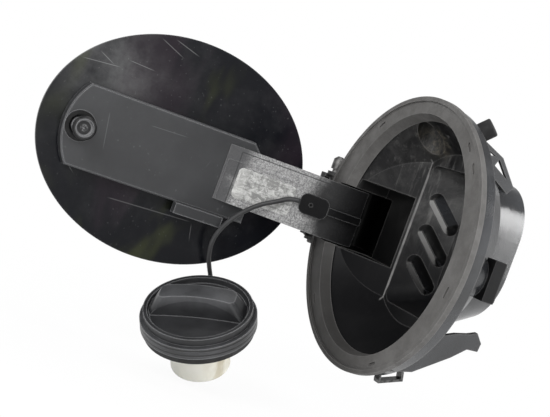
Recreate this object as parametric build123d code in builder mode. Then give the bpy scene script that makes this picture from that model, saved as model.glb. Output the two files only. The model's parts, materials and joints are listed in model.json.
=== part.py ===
from build123d import *
import os
from math import acos, atan2, cos, degrees, radians, sin, sqrt, tan

# Car fuel door: a moulded filler pot with a sprung gooseneck door and a tethered cap.
# Frame: origin at the centre of the seal's front face, +X towards the free edge of
# the shut door, +Y into the car, +Z up along the hinge pin. The door stands open.

# Driving dimensions, in millimetres and degrees

# Pot and its seal
rim_a = 97.2
rim_b = 83.3
seal_thickness = 2.0
seal_lip_width = 2.6
seal_lip_height = 1.2
seal_bevel = 0.3
seal_skirt = 2.4
seal_slot_length = 7.0
seal_slot_width = 2.0
seal_slot_depth = 1.0
seal_slot_angles = (39, 50, 129, 226, 296, 348)
flange_setback = 2.0
flange_thickness = 2.5
bead_width = 2.5
bead_depth = 4.5
mouth_a = 78.0
mouth_b = 73.0
lip_depth = 6.5
bowl_floor_x = 2.0
bowl_floor_z = 5.0
bowl_floor_a = 60.0
bowl_floor_b = 53.0
ridge_x = -31.5
ridge_depth = 30.0
wall = 2.5

# Filler well behind the ridge
well_right = 54.0
well_top = 48.0
well_bottom = -40.0
well_corner = 28.0
ridge_corner = 9.0
well_depth = 50.0
well_floor_left = -10.0
well_floor_right = 51.0
well_floor_bottom = -28.0
floor_corner = 12.0
filler_x = 22.0
filler_z = 16.0
filler_radius = 22.0
collar_wall = 3.0
collar_length = 4.0
boot_wall = 2.5
boot_lip = 2.5
fin_count = 3
fin_pitch = 20.0
fin_length = 30.0
fin_width = 12.0
fin_height = 7.5
fin_first = (18.0, 21.3)
fin_lean = -42.0
fin_taper = 33.0

# Recess beside the ridge that the arm's ramp swings into
recess_left = -74.0
recess_low = -21.0
recess_high = 25.0
recess_front = 8.0
recess_wall = 2.5

# Pocket that takes the shut door's latch post, and the latch motor behind it
latch_gap = 2.0
latch_depth = 24.0
motor_x = 69.5
motor_z = -3.5
motor_width = 9.0
motor_height = 23.0
motor_depth = 8.5
motor_corner = 1.5

# Vent recess in the roof of the pot and the stub beside it
vent_x = -22.0
vent_y = 18.0
vent_radius = 10.0
vent_reach = 20.0
vent_rise = 3.0
stub_radius = 5.4
stub_length = 17.0
stub_root = (32.3, 9.9, 64.4)
stub_wall = 2.0
stub_stand_off = 6.0
stub_direction = (0.45, 0.55, 0.70)

# Bracket and rib behind the flange, given as depth and height, and the spring clip below
bracket_x = 50.0
bracket_thickness = 3.0
bracket_line = (
    (3.5, -69.5),
    (18.0, -66.0),
    (38.0, -52.0),
    (46.0, -45.0),
    (53.0, -44.5),
    (53.5, -39.5),
    (49.0, -34.5),
    (44.0, -36.5),
    (36.0, -38.5),
    (18.0, -46.0),
    (3.5, -52.0),
)
rib_x = 42.0
rib_thickness = 2.5
rib_line = (
    (3.5, 67.0),
    (15.0, 67.5),
    (30.0, 62.0),
    (43.0, 48.5),
    (40.0, 44.0),
    (28.0, 50.0),
    (3.5, 56.0),
)
rib_windows = (
    ((14.0, 65.0), (25.0, 61.5), (16.0, 59.5)),
    ((28.0, 60.5), (37.0, 51.5), (26.5, 56.5)),
)
clip_strip = 1.5
clip_strip_width = 6.0
clip_strip_x = 33.0
clip_strip_line = ((0.0, 0.0), (1.0, -4.0), (14.0, 0.5), (13.0, 5.0))

# Hinge
hinge_x = -108.0
hinge_y = 5.0
open_angle = 90.0
pin_radius = 2.5
pin_clearance = 0.05
pin_overhang = 4.0
pin_head_radius = 4.0
pin_head_height = 9.0
collar_height = 2.0
collar_setback = 1.0
knuckle_radius = 6.0
arm_z = -1.0
arm_height = 37.0
arm_thickness = 8.0
arm_side_gap = 1.0
arm_recess = 0.6
arm_recess_from = 1.6
arm_recess_to = 52.0
arm_recess_top = 9.0
arm_lip = 1.0
leg_thickness = 6.0
goose_inner = 27.0
goose_angle = 112.0
goose_clearance = 2.0
clip_reach = 7.5
notch_gap = 3.0
front_clearance = 3.0
pocket_left_gap = 3.0
pocket_corner = 7.0
spring_gap = 16.0
spring_wire = 0.7
spring_slack = 0.2
spring_turns = 6
spring_turn_gap = 0.3

# Door
door_a = 90.0
door_b = 72.0
door_gap = 0.8
door_thickness = 1.8
door_crown = 1400.0
carrier_height = 6.3
carrier_free_end = 74.5
carrier_hinge_end = 57.0
carrier_top = 23.0
carrier_bottom = 29.5
carrier_end_rise = 9.0
carrier_draft = 4.0
carrier_bevel = 0.8
rail_start = 9.5
rail_length = 33.0
rail_width = 7.0
rail_height = 4.0
arm_start = 32.0
post_from_centre = 64.0
post_z = -4.0
post_radius = 7.4
post_height = 17.0
post_stem = 4.6
post_waist = 2.0
post_head = 6.0
post_bevel = 1.0
post_ring_radius = 9.6
post_ring_wall = 1.6
post_ring_height = 1.6
label_length = 39.0
label_width = 20.0
label_thickness = 0.4
label_along = 29.8
label_z = -3.5
label_corner = 3.0

# Tether and cap
clip_setback = 4.0
clip_z = -1.0
clip_length = 19.0
clip_width = 13.5
clip_corner = 4.5
clip_thickness = 3.6
clip_hole = 1.2
clip_hole_depth = 2.0
clip_hole_shift = 2.0
clip_seat_gap = 0.1
shank_width = 5.0
shank_end = 72.0
tether_diameter = 3.0
tether_route = (
    (-85.4, -36.8, -7.4),
    (-89.0, -45.7, -12.9),
    (-93.3, -54.3, -22.3),
    (-96.6, -59.6, -31.2),
    (-99.8, -62.0, -39.0),
    (-101.8, -62.8, -46.0),
    (-103.7, -61.3, -53.5),
    (-106.2, -57.8, -61.5),
)
bend_share = 0.45
tether_lead = 6.0
cap_center = (-80.3, -61.2, -92.7)
cap_axis = (0.3352, -0.453, 0.8259)
cap_right = (0.3382, 0.8762, 0.3434)
knob_radius = 34.6
knob_rim_height = 5.2
knob_dish_depth = 3.6
knob_rim_width = 2.6
grip_height = 11.7
grip_base = (63.0, 18.5)
grip_top = (45.0, 13.0)
grip_corner = 4.0
grip_crown = 107.0
grip_waist = 2.2
grip_turn = -9.0
ring_radius = 37.0
ring_height = 7.6
ring_bore = 27.0
ring_clearance = 0.3
cap_seal_radius = 35.4
cap_seal_height = 5.0
neck_radius = 19.3
neck_length = 28.0
neck_wall = 2.2
neck_round = 3.0
cap_seal_round = 1.2
knob_dish_taper = 20.0
eyelet_shift = 6.0
eyelet_radius = 2.6
valve_spring_radius = 8.0
valve_spring_height = 9.0
valve_spring_turns = 4
valve_thickness = 2.0

os.makedirs("parts", exist_ok=True)


def front_plane(depth):
    # Plane that faces out of the car, at a depth behind the seal's face
    return Plane.XZ.offset(-depth)


def write(builder, name):
    builder.part.label = name
    export_step(builder.part, f"parts/{name}.step")


# Values worked out from the driving dimensions
flange_depth = seal_thickness
flange_back = flange_depth + flange_thickness
bead_back = flange_back + bead_depth
goose_outer = goose_inner + arm_thickness
pocket_radius = goose_outer + clip_reach + goose_clearance
pocket_z_low = arm_z - arm_height / 2 - arm_side_gap
pocket_z_high = arm_z + arm_height / 2 + arm_side_gap
pocket_back = hinge_y + pocket_radius
pocket_left = hinge_x - goose_outer * sin(radians(goose_angle - 90)) - arm_thickness / 2 - pocket_left_gap
notch_left = hinge_x + goose_inner - notch_gap
pocket_right = hinge_x + pocket_radius - goose_clearance / 2

# Door directions at rest: out runs from the pin to the free edge, face looks at the pot's side
swing = radians(open_angle)
hinge = Vector(hinge_x, hinge_y, 0)
out = Vector(cos(swing), -sin(swing), 0)
face = Vector(sin(swing), cos(swing), 0)
up = Vector(0, 0, 1)
door_reach = -hinge_x
panel_level = -(hinge_y + door_gap)
carrier_level = panel_level + carrier_height


def door_plane(level):
    # Plane on the door's inner side: x runs towards the hinge from the door's centre
    return Plane(origin=hinge + out * door_reach + face * level, x_dir=out * -1, z_dir=face)


def arm_plane(z):
    # Plane square to the pin: x runs away from the door, y runs to the door's inner side
    return Plane(origin=hinge + up * z, x_dir=out * -1, z_dir=up * -1)


def well_outline(depth, left, right, low, left_corner, grow):
    # Outline of the well at a depth, grown by a wall, with its own corners on each side
    with BuildSketch(front_plane(depth)) as outline:
        with Locations(((left + right) / 2, (low + well_top) / 2)):
            Rectangle(right - left + 2 * grow, well_top - low + 2 * grow)
        fillet(outline.vertices().group_by(Axis.X)[-1], well_corner + grow)
        fillet(outline.vertices().group_by(Axis.X)[0], left_corner + grow)
    return outline.sketch.face()


def well_shape(depth, grow):
    # Outlines at the ridge and at a depth, ready to be joined
    mouth = well_outline(ridge_depth, ridge_x, well_right, well_bottom, ridge_corner, grow)
    base = well_outline(depth, well_floor_left, well_floor_right, well_floor_bottom, floor_corner, grow)
    return [mouth, base]


# The arm runs as a straight ramp from its foot on the carrier to the hook round the pin
arm_foot = Vector(arm_start - door_reach, carrier_level + arm_lip)
touch_angle = degrees(atan2(arm_foot.Y, arm_foot.X) - acos(goose_outer / arm_foot.length))
ramp_angle = touch_angle - 90
ramp_run = out * -cos(radians(ramp_angle)) + face * sin(radians(ramp_angle))
ramp_out = out * sin(radians(ramp_angle)) + face * cos(radians(ramp_angle))
ramp_foot = hinge + out * -arm_foot.X + face * arm_foot.Y + up * arm_z
hook_end = 180 - goose_angle

ramp_length = sqrt(arm_foot.length ** 2 - goose_outer ** 2)
clip_along = ramp_length - clip_setback

# Lower edge of the flange where the spring clip is fixed
clip_edge_share = sqrt(1 - (clip_strip_x / (rim_a - flange_setback)) ** 2)
clip_root = bead_width / 2 - (rim_b - flange_setback) * clip_edge_share


def ramp_plane(level):
    # Plane on the ramp: x runs up the ramp from its foot, y runs up along the pin
    return Plane(origin=ramp_foot + ramp_out * level, x_dir=ramp_run, z_dir=ramp_out)


stub_plane = Plane(origin=stub_root, z_dir=stub_direction)

# The cheek slopes from the bowl's lip to the ridge, and the slope from there to the well's floor
ridge = Vector(ridge_x, ridge_depth, 0)
cheek_run = (ridge - Vector(-mouth_a, lip_depth, 0)).normalized()
cheek_plane = Plane(origin=ridge, x_dir=cheek_run, z_dir=cheek_run.cross(up))
slope_run = (Vector(well_floor_left, well_depth, 0) - ridge).normalized()
slope_plane = Plane(origin=ridge, x_dir=slope_run, z_dir=slope_run.cross(up))
recess_points = (
    (recess_left, recess_front),
    (recess_left, ridge_depth),
    (ridge_x - recess_wall, ridge_depth),
    (ridge_x - recess_wall, ridge_depth / 2),
)

# Outside and hollow of the bowl, both cut off by the cheek
with BuildPart() as bowl_outside:
    with BuildSketch(front_plane(lip_depth)):
        Ellipse(mouth_a + wall, mouth_b + wall)
    with BuildSketch(front_plane(ridge_depth + wall)):
        with Locations((bowl_floor_x, bowl_floor_z)):
            Ellipse(bowl_floor_a + wall, bowl_floor_b + wall)
    loft()
    split(bisect_by=cheek_plane.offset(-wall), keep=Keep.TOP)
    with BuildSketch(front_plane(flange_depth)):
        Ellipse(mouth_a + wall, mouth_b + wall)
    extrude(amount=flange_depth - lip_depth)
with BuildPart() as bowl_hollow:
    with BuildSketch(front_plane(lip_depth)):
        Ellipse(mouth_a, mouth_b)
    with BuildSketch(front_plane(ridge_depth)):
        with Locations((bowl_floor_x, bowl_floor_z)):
            Ellipse(bowl_floor_a, bowl_floor_b)
    loft()
    split(bisect_by=cheek_plane, keep=Keep.TOP)
    with BuildSketch(front_plane(0)):
        Ellipse(mouth_a, mouth_b)
    extrude(amount=-lip_depth)

# Filler pot: flange, bowl, hinge pocket, filler well, collar and fixings, one moulding
with BuildPart() as housing:
    with BuildSketch(front_plane(flange_depth)):
        Ellipse(rim_a - flange_setback, rim_b - flange_setback)
    extrude(amount=-flange_thickness)
    with BuildSketch(front_plane(flange_back)):
        Ellipse(rim_a - flange_setback, rim_b - flange_setback)
        Ellipse(rim_a - flange_setback - bead_width, rim_b - flange_setback - bead_width, mode=Mode.SUBTRACT)
    extrude(amount=-bead_depth)
    add(bowl_outside.part)
    loft(well_shape(well_depth + wall, wall))
    with BuildSketch(Plane.XY.offset(pocket_z_low - wall)):
        with Locations((pocket_left - wall, flange_depth)):
            RectangleRounded(
                pocket_right - pocket_left + 2 * wall,
                pocket_back + wall - flange_depth,
                pocket_corner + wall,
                align=(Align.MIN, Align.MIN),
            )
    extrude(amount=pocket_z_high - pocket_z_low + 2 * wall)
    with BuildSketch(Plane.XY.offset(recess_low - wall)):
        with BuildLine():
            Polyline(*recess_points, close=True)
        make_face()
        offset(amount=wall)
    extrude(amount=recess_high - recess_low + 2 * wall)
    with BuildSketch(Plane.XY.offset(pocket_z_low - wall)):
        with Locations((hinge_x, hinge_y)):
            Circle(knuckle_radius)
    extrude(amount=pocket_z_high - pocket_z_low + 2 * wall)
    with BuildSketch(Plane.XY.offset(mouth_b - vent_reach)):
        with Locations((vent_x, vent_y)):
            Circle(vent_radius + wall)
    extrude(amount=vent_rise + vent_reach)
    with BuildSketch(front_plane(flange_depth)):
        with Locations((post_from_centre, post_z)):
            Circle(post_radius + latch_gap + wall)
    extrude(amount=-(latch_depth + wall - flange_depth))
    with BuildSketch(front_plane(well_depth + collar_length)):
        with Locations((filler_x, filler_z)):
            Circle(filler_radius + boot_wall + collar_wall)
    extrude(amount=collar_length)
    with BuildSketch(Plane.YZ.offset(bracket_x - bracket_thickness / 2)):
        with BuildLine():
            Polyline(*bracket_line, close=True)
        make_face()
    extrude(amount=bracket_thickness)
    with BuildSketch(Plane.YZ.offset(rib_x - rib_thickness / 2)):
        with BuildLine():
            Polyline(*rib_line, close=True)
        make_face()
        for window in rib_windows:
            with BuildLine():
                Polyline(*window, close=True)
            make_face(mode=Mode.SUBTRACT)
    extrude(amount=rib_thickness)
    with BuildSketch(stub_plane.offset(-wall)):
        Circle(stub_radius - stub_wall)
    extrude(amount=stub_length + wall - 2 * stub_wall)
    # Hollows of the bowl, the well, the hinge pocket, the latch, the vent and the filler opening
    add(bowl_hollow.part, mode=Mode.SUBTRACT)
    loft(well_shape(well_depth, 0), mode=Mode.SUBTRACT)
    with BuildSketch(Plane.XY.offset(pocket_z_low)):
        with Locations((pocket_left, flange_back)):
            RectangleRounded(
                pocket_right - pocket_left,
                pocket_back - flange_back,
                pocket_corner,
                align=(Align.MIN, Align.MIN),
            )
    extrude(amount=pocket_z_high - pocket_z_low, mode=Mode.SUBTRACT)
    with BuildSketch(Plane.XY.offset(pocket_z_low)):
        with Locations((notch_left, 0)):
            Rectangle(pocket_right - notch_left, flange_back + pocket_corner, align=(Align.MIN, Align.MIN))
        with Locations((hinge_x, hinge_y)):
            Circle(knuckle_radius + goose_clearance)
        with Locations((hinge_x - knuckle_radius - goose_clearance, hinge_y - knuckle_radius - front_clearance)):
            Rectangle(
                2 * knuckle_radius + goose_clearance,
                2 * knuckle_radius + front_clearance,
                align=(Align.MIN, Align.MIN),
            )
    extrude(amount=pocket_z_high - pocket_z_low, mode=Mode.SUBTRACT)
    with BuildSketch(Plane.XY.offset(recess_low)):
        with BuildLine():
            Polyline(*recess_points, close=True)
        make_face()
    extrude(amount=recess_high - recess_low, mode=Mode.SUBTRACT)
    with BuildSketch(front_plane(flange_depth)):
        with Locations((post_from_centre, post_z)):
            Circle(post_radius + latch_gap)
    extrude(amount=-(latch_depth - flange_depth), mode=Mode.SUBTRACT)
    with BuildSketch(Plane.XY.offset(mouth_b - vent_reach)):
        with Locations((vent_x, vent_y)):
            Circle(vent_radius)
    extrude(amount=vent_rise + vent_reach - wall, mode=Mode.SUBTRACT)
    with BuildSketch(front_plane(well_depth + collar_length)):
        with Locations((filler_x, filler_z)):
            Circle(filler_radius + boot_wall)
    extrude(amount=collar_length + wall, mode=Mode.SUBTRACT)
    with BuildSketch(Plane.XY.offset(pocket_z_low - wall)):
        with Locations((hinge_x, hinge_y)):
            Circle(pin_radius)
    extrude(amount=pocket_z_high - pocket_z_low + 2 * wall, mode=Mode.SUBTRACT)
    # Drip fins on the well's slope
    with BuildSketch(slope_plane.offset(-wall / 2)):
        for row in range(fin_count):
            with Locations((fin_first[0], fin_first[1] - row * fin_pitch)):
                SlotOverall(fin_length, fin_width, rotation=fin_lean)
    extrude(amount=fin_height + wall / 2, taper=fin_taper)
write(housing, "housing")

# Seal ring: flat band with a bevelled skirt into the mouth, an outer lip, slots and a notch for the arm
with BuildPart() as rim_seal:
    with BuildSketch(front_plane(seal_thickness)):
        Ellipse(rim_a, rim_b)
    extrude(amount=seal_thickness)
    with BuildSketch(front_plane(lip_depth)):
        Ellipse(mouth_a - pin_clearance, mouth_b - pin_clearance)
    extrude(amount=lip_depth - seal_thickness)
    with BuildSketch(front_plane(lip_depth)):
        Ellipse(mouth_a - seal_skirt, mouth_b - seal_skirt)
    with BuildSketch(front_plane(0)):
        Ellipse(mouth_a + seal_bevel, mouth_b + seal_bevel)
    loft(mode=Mode.SUBTRACT)
    with BuildSketch(front_plane(lip_depth)):
        with Locations((notch_left, arm_z)):
            Rectangle(mouth_a, pocket_z_high - pocket_z_low, align=(Align.MIN, Align.CENTER))
    extrude(amount=lip_depth, mode=Mode.SUBTRACT)
    with BuildSketch(front_plane(0)):
        Ellipse(rim_a, rim_b)
        Ellipse(rim_a - seal_lip_width, rim_b - seal_lip_width, mode=Mode.SUBTRACT)
    extrude(amount=seal_lip_height)
    with BuildSketch(front_plane(0)):
        for angle in seal_slot_angles:
            slot_x = (rim_a + mouth_a) / 2 * cos(radians(angle))
            slot_z = (rim_b + mouth_b) / 2 * sin(radians(angle))
            with Locations((slot_x, slot_z)):
                SlotOverall(seal_slot_length, seal_slot_width, rotation=angle + 90)
    extrude(amount=-seal_slot_depth, mode=Mode.SUBTRACT)
write(rim_seal, "rim_seal")

# Rubber boot that seals the filler opening round the neck of the tank
with BuildPart() as filler_boot:
    with BuildSketch(front_plane(well_depth + collar_length)):
        with Locations((filler_x, filler_z)):
            Circle(filler_radius + boot_wall - pin_clearance)
            Circle(filler_radius, mode=Mode.SUBTRACT)
    extrude(amount=collar_length + boot_lip)
    with BuildSketch(front_plane(well_depth)):
        with Locations((filler_x, filler_z)):
            Circle(filler_radius + boot_wall + boot_lip)
            Circle(filler_radius, mode=Mode.SUBTRACT)
    extrude(amount=boot_lip)
write(filler_boot, "filler_boot")

# Rubber stub pushed over the vent spigot
with BuildPart() as vent_stub:
    with BuildSketch(stub_plane.offset(stub_stand_off)):
        Circle(stub_radius)
    extrude(amount=stub_length - stub_stand_off)
    with BuildSketch(stub_plane.offset(stub_stand_off)):
        Circle(stub_radius - stub_wall + pin_clearance)
    extrude(amount=stub_length - stub_wall / 2 - stub_stand_off - stub_wall, mode=Mode.SUBTRACT)
    fillet(vent_stub.edges().group_by(Axis(stub_plane.origin, stub_plane.z_dir))[-1], stub_wall / 2)
write(vent_stub, "vent_stub")

# Spring steel clip on the back of the flange
with BuildPart() as body_clip:
    with BuildSketch(Plane.YZ.offset(clip_strip_x - clip_strip_width / 2)):
        with BuildLine() as clip_path:
            Polyline(*[(bead_back + y, clip_root + z) for y, z in clip_strip_line])
        trace(clip_path.line, line_width=clip_strip)
        with Locations((0, clip_root)):
            Rectangle(bead_back, 8 * clip_strip, align=(Align.MIN, Align.CENTER), mode=Mode.SUBTRACT)
    extrude(amount=clip_strip_width)
write(body_clip, "body_clip")

# Latch motor on the back of the latch pocket
with BuildPart() as latch_motor:
    with BuildSketch(front_plane(latch_depth + wall)):
        with Locations((motor_x, motor_z)):
            Rectangle(motor_width, motor_height, align=(Align.MIN, Align.CENTER))
    extrude(amount=-motor_depth)
    chamfer(latch_motor.faces().sort_by(Axis.Y)[-1].edges(), motor_corner)
write(latch_motor, "latch_motor")

# Hinge pin with a headed upper end
with BuildPart() as hinge_pin:
    with BuildSketch(Plane.XY.offset(pocket_z_low - wall - pin_overhang)):
        with Locations((hinge_x, hinge_y)):
            Circle(pin_radius)
    extrude(amount=pocket_z_high - pocket_z_low + 2 * (wall + pin_overhang))
    with BuildSketch(Plane.XY.offset(pocket_z_high + wall + pin_overhang)):
        with Locations((hinge_x, hinge_y)):
            Circle(pin_head_radius)
    extrude(amount=pin_head_height)
    chamfer(hinge_pin.edges().group_by(Axis.Z)[-1], pin_head_height / 4)
    chamfer(hinge_pin.edges().group_by(Axis.Z)[0], pin_radius / 4)
write(hinge_pin, "hinge_pin")

# Push-on collars that keep the pin in the pocket's ears
with BuildPart() as pin_collar_upper:
    with BuildSketch(Plane.XY.offset(pocket_z_high + wall)):
        with Locations((hinge_x, hinge_y)):
            Circle(knuckle_radius - collar_setback)
            Circle(pin_radius + pin_clearance, mode=Mode.SUBTRACT)
    extrude(amount=collar_height)
write(pin_collar_upper, "pin_collar_upper")

with BuildPart() as pin_collar_lower:
    with BuildSketch(Plane.XY.offset(pocket_z_low - wall - collar_height)):
        with Locations((hinge_x, hinge_y)):
            Circle(knuckle_radius - collar_setback)
            Circle(pin_radius + pin_clearance, mode=Mode.SUBTRACT)
    extrude(amount=collar_height)
write(pin_collar_lower, "pin_collar_lower")

# Torsion spring wound round the pin in the gap of the knuckle
spring_pitch = 2 * spring_wire + spring_turn_gap
spring_radius = pin_radius + spring_slack + spring_wire
spring_height = spring_turns * spring_pitch
spring_base = arm_z - spring_height / 2
with BuildPart() as hinge_spring:
    with BuildLine(Plane(origin=(hinge_x, hinge_y, spring_base))) as coil_line:
        Helix(spring_pitch, spring_height, spring_radius)
    with BuildSketch(Plane(origin=coil_line.line @ 0, z_dir=coil_line.line % 0)):
        Circle(spring_wire)
    sweep(is_frenet=True)
write(hinge_spring, "hinge_spring")

# Door skin: oval panel dished to the curve of the body side
skin_center = door_plane(panel_level + door_crown - door_a ** 2 / (2 * door_crown)).origin
with BuildPart() as door_panel:
    with BuildSketch(door_plane(panel_level)):
        Ellipse(door_a, door_b)
    extrude(amount=-door_thickness - 2 * door_a ** 2 / (2 * door_crown))
    with Locations(skin_center):
        Sphere(door_crown + door_thickness, mode=Mode.INTERSECT)
        Sphere(door_crown, mode=Mode.SUBTRACT)
write(door_panel, "door_panel")

# Inner carrier: raised tray with a bowed free end, a side rail and a seat for the latch post
with BuildPart() as door_carrier:
    with BuildSketch(door_plane(carrier_level)):
        with BuildLine():
            top_start = (carrier_hinge_end - carrier_end_rise, carrier_top)
            top_end = (carrier_end_rise - carrier_free_end, carrier_top)
            low_end = (carrier_end_rise - carrier_free_end, -carrier_bottom)
            low_start = (carrier_hinge_end, -carrier_bottom)
            Polyline(low_end, low_start, (carrier_hinge_end, carrier_top - carrier_end_rise), top_start, top_end)
            ThreePointArc(top_end, (-carrier_free_end, (carrier_top - carrier_bottom) / 2), low_end)
        make_face()
    extrude(amount=-carrier_height - door_a ** 2 / (2 * door_crown), taper=-carrier_draft)
    chamfer(door_carrier.faces().sort_by(Axis(door_plane(0).origin, face))[-1].edges(), carrier_bevel)
    with BuildSketch(door_plane(carrier_level - carrier_height / 2)):
        with Locations((rail_start, -carrier_bottom)):
            Rectangle(rail_length, rail_width, align=(Align.MIN, Align.MAX))
    extrude(amount=carrier_height / 2 + rail_height)
    with BuildSketch(door_plane(carrier_level)):
        with Locations((-post_from_centre, post_z)):
            Circle(post_ring_radius)
    extrude(amount=-post_ring_height, mode=Mode.SUBTRACT)
    with Locations(skin_center):
        Sphere(door_crown, mode=Mode.INTERSECT)
write(door_carrier, "door_carrier")

# Gooseneck arm: ramp off the carrier, hook round the rim and two knuckles on the pin
with BuildPart() as hinge_arm:
    with BuildSketch(arm_plane(arm_z + arm_height / 2)):
        with BuildLine():
            outer_arc = CenterArc((0, 0), goose_outer, hook_end, touch_angle - hook_end)
            inner_arc = CenterArc((0, 0), goose_inner, hook_end, touch_angle - hook_end)
            inner_touch = inner_arc @ 1
            heel_x = inner_touch.X - (inner_touch.Y - carrier_level) / tan(radians(ramp_angle))
            Polyline(
                inner_touch,
                (heel_x, carrier_level),
                (arm_foot.X, carrier_level),
                (arm_foot.X, arm_foot.Y),
                outer_arc @ 1,
            )
            Line(outer_arc @ 0, inner_arc @ 0)
        make_face()
        with Locations(Location((0, 0), hook_end)):
            Rectangle((goose_inner + goose_outer) / 2, leg_thickness, align=(Align.MIN, Align.CENTER))
        Circle(knuckle_radius)
        Circle(pin_radius + pin_clearance, mode=Mode.SUBTRACT)
    extrude(amount=arm_height)
    with BuildSketch(arm_plane(arm_z + spring_gap / 2)):
        Circle(knuckle_radius + goose_clearance)
    extrude(amount=spring_gap, mode=Mode.SUBTRACT)
    with BuildSketch(ramp_plane(0)):
        with Locations((arm_recess_from, arm_recess_top)):
            Rectangle(
                arm_recess_to - arm_recess_from,
                arm_recess_top + arm_height / 2,
                align=(Align.MIN, Align.MAX),
            )
    extrude(amount=-arm_recess, mode=Mode.SUBTRACT)
write(hinge_arm, "hinge_arm")

# Blank foil label in the arm's recess
with BuildPart() as label_plate:
    with BuildSketch(ramp_plane(-arm_recess)):
        with Locations((label_along, label_z)):
            RectangleRounded(label_length, label_width, label_corner)
    extrude(amount=label_thickness)
write(label_plate, "label_plate")

# Latch post: foot, waisted stem and cupped head
with BuildPart() as latch_post:
    post_foot = door_plane(carrier_level - post_ring_height).origin + up * post_z + out * post_from_centre
    with BuildSketch(Plane(origin=post_foot, x_dir=out, z_dir=out.cross(face))):
        with BuildLine():
            Polyline(
                (0, 0),
                (post_radius - post_ring_wall / 2, 0),
                (post_radius - post_ring_wall / 2, post_ring_height),
                (post_stem, post_ring_height + post_waist),
                (post_stem, post_height - post_head),
                (post_radius, post_height - post_head / 2),
                (post_radius, post_height - post_bevel),
                (post_radius - post_bevel, post_height),
                (post_radius - 2 * post_bevel, post_height),
                (post_radius - 2 * post_bevel, post_height - post_head / 2),
                (0, post_height - post_head / 2),
                close=True,
            )
        make_face()
    revolve(axis=Axis(post_foot, face))
write(latch_post, "latch_post")

# Rubber ring round the foot of the post
with BuildPart() as post_ring:
    with BuildSketch(door_plane(carrier_level - post_ring_height)):
        with Locations((-post_from_centre, post_z)):
            Circle(post_ring_radius - pin_clearance)
            Circle(post_radius, mode=Mode.SUBTRACT)
    extrude(amount=2 * post_ring_height)
write(post_ring, "post_ring")

# Tether clip on the ramp: rounded tab with a bent shank that follows the hook
with BuildPart() as tether_clip:
    with BuildSketch(ramp_plane(0)):
        with Locations((clip_along, clip_z)):
            RectangleRounded(clip_length, clip_width, clip_corner)
    extrude(amount=clip_thickness)
    with BuildSketch(ramp_plane(clip_thickness)):
        with Locations((clip_along - clip_hole_shift, clip_z)):
            Circle(clip_hole)
    extrude(amount=-clip_hole_depth, mode=Mode.SUBTRACT)
    with BuildSketch(arm_plane(arm_z + clip_z + shank_width / 2)):
        with BuildLine():
            shank_outer = CenterArc((0, 0), goose_outer + clip_thickness, shank_end, touch_angle - shank_end)
            shank_inner = CenterArc((0, 0), goose_outer + clip_seat_gap, shank_end, touch_angle - shank_end)
            Line(shank_outer @ 0, shank_inner @ 0)
            Line(shank_outer @ 1, shank_inner @ 1)
        make_face()
    extrude(amount=shank_width)
write(tether_clip, "tether_clip")

# Cap: knob with a grip bar, swivel ring for the tether, seal and hollow neck
cap_plane = Plane(origin=cap_center, x_dir=cap_right, z_dir=cap_axis)
cap_up = cap_plane.z_dir
cap_rear = cap_plane.y_dir
knob_base = ring_height / 2 + ring_clearance
grip_along = cap_plane.x_dir * cos(radians(grip_turn)) + cap_rear * sin(radians(grip_turn))
grip_plane = Plane(origin=cap_center, x_dir=grip_along, z_dir=cap_axis)
grip_level = knob_base + knob_rim_height + grip_height
waist_radius = ((grip_base[0] / 2) ** 2 + grip_waist ** 2) / (2 * grip_waist)
waist_shift = grip_base[1] / 2 + waist_radius - grip_waist
with BuildPart() as grip:
    with BuildSketch(grip_plane.offset(knob_base + knob_rim_height - knob_dish_depth)):
        RectangleRounded(grip_base[0], grip_base[1], grip_corner)
    with BuildSketch(grip_plane.offset(grip_level)):
        RectangleRounded(grip_top[0], grip_top[1], grip_corner)
    loft()
    with BuildSketch(grip_plane.offset(grip_level)):
        with Locations((0, waist_shift), (0, -waist_shift)):
            Circle(waist_radius)
    extrude(amount=-grip_height - knob_dish_depth, mode=Mode.SUBTRACT)
    crown_origin = grip_plane.origin + cap_up * (grip_level - grip_crown) - grip_plane.y_dir * grip_base[1]
    with BuildSketch(Plane(origin=crown_origin, x_dir=grip_plane.x_dir, z_dir=grip_plane.y_dir)):
        Circle(grip_crown)
    extrude(amount=2 * grip_base[1], mode=Mode.INTERSECT)
with BuildPart() as cap_knob:
    with BuildSketch(cap_plane.offset(knob_base)):
        Circle(knob_radius)
    extrude(amount=knob_rim_height)
    with BuildSketch(cap_plane.offset(knob_base + knob_rim_height)):
        Circle(knob_radius - knob_rim_width)
    extrude(amount=-knob_dish_depth, taper=knob_dish_taper, mode=Mode.SUBTRACT)
    add(grip.part)
    with BuildSketch(cap_plane.offset(knob_base)):
        Circle(ring_bore - ring_clearance)
    extrude(amount=-ring_height - 2 * ring_clearance)
write(cap_knob, "cap_knob")

with BuildPart() as tether_ring:
    with BuildSketch(cap_plane.offset(-ring_height / 2)):
        Circle(ring_radius)
        with Locations((eyelet_shift, ring_radius - eyelet_radius)):
            SlotOverall(4 * eyelet_radius, 2 * eyelet_radius)
        Circle(ring_bore, mode=Mode.SUBTRACT)
    extrude(amount=ring_height)
write(tether_ring, "tether_ring")

with BuildPart() as cap_seal:
    with BuildSketch(cap_plane.offset(-knob_base)):
        Circle(cap_seal_radius)
        Circle(neck_radius + pin_clearance, mode=Mode.SUBTRACT)
    extrude(amount=-cap_seal_height)
    fillet(cap_seal.edges().filter_by(GeomType.CIRCLE).sort_by(SortBy.RADIUS)[-2:], cap_seal_round)
write(cap_seal, "cap_seal")

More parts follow.
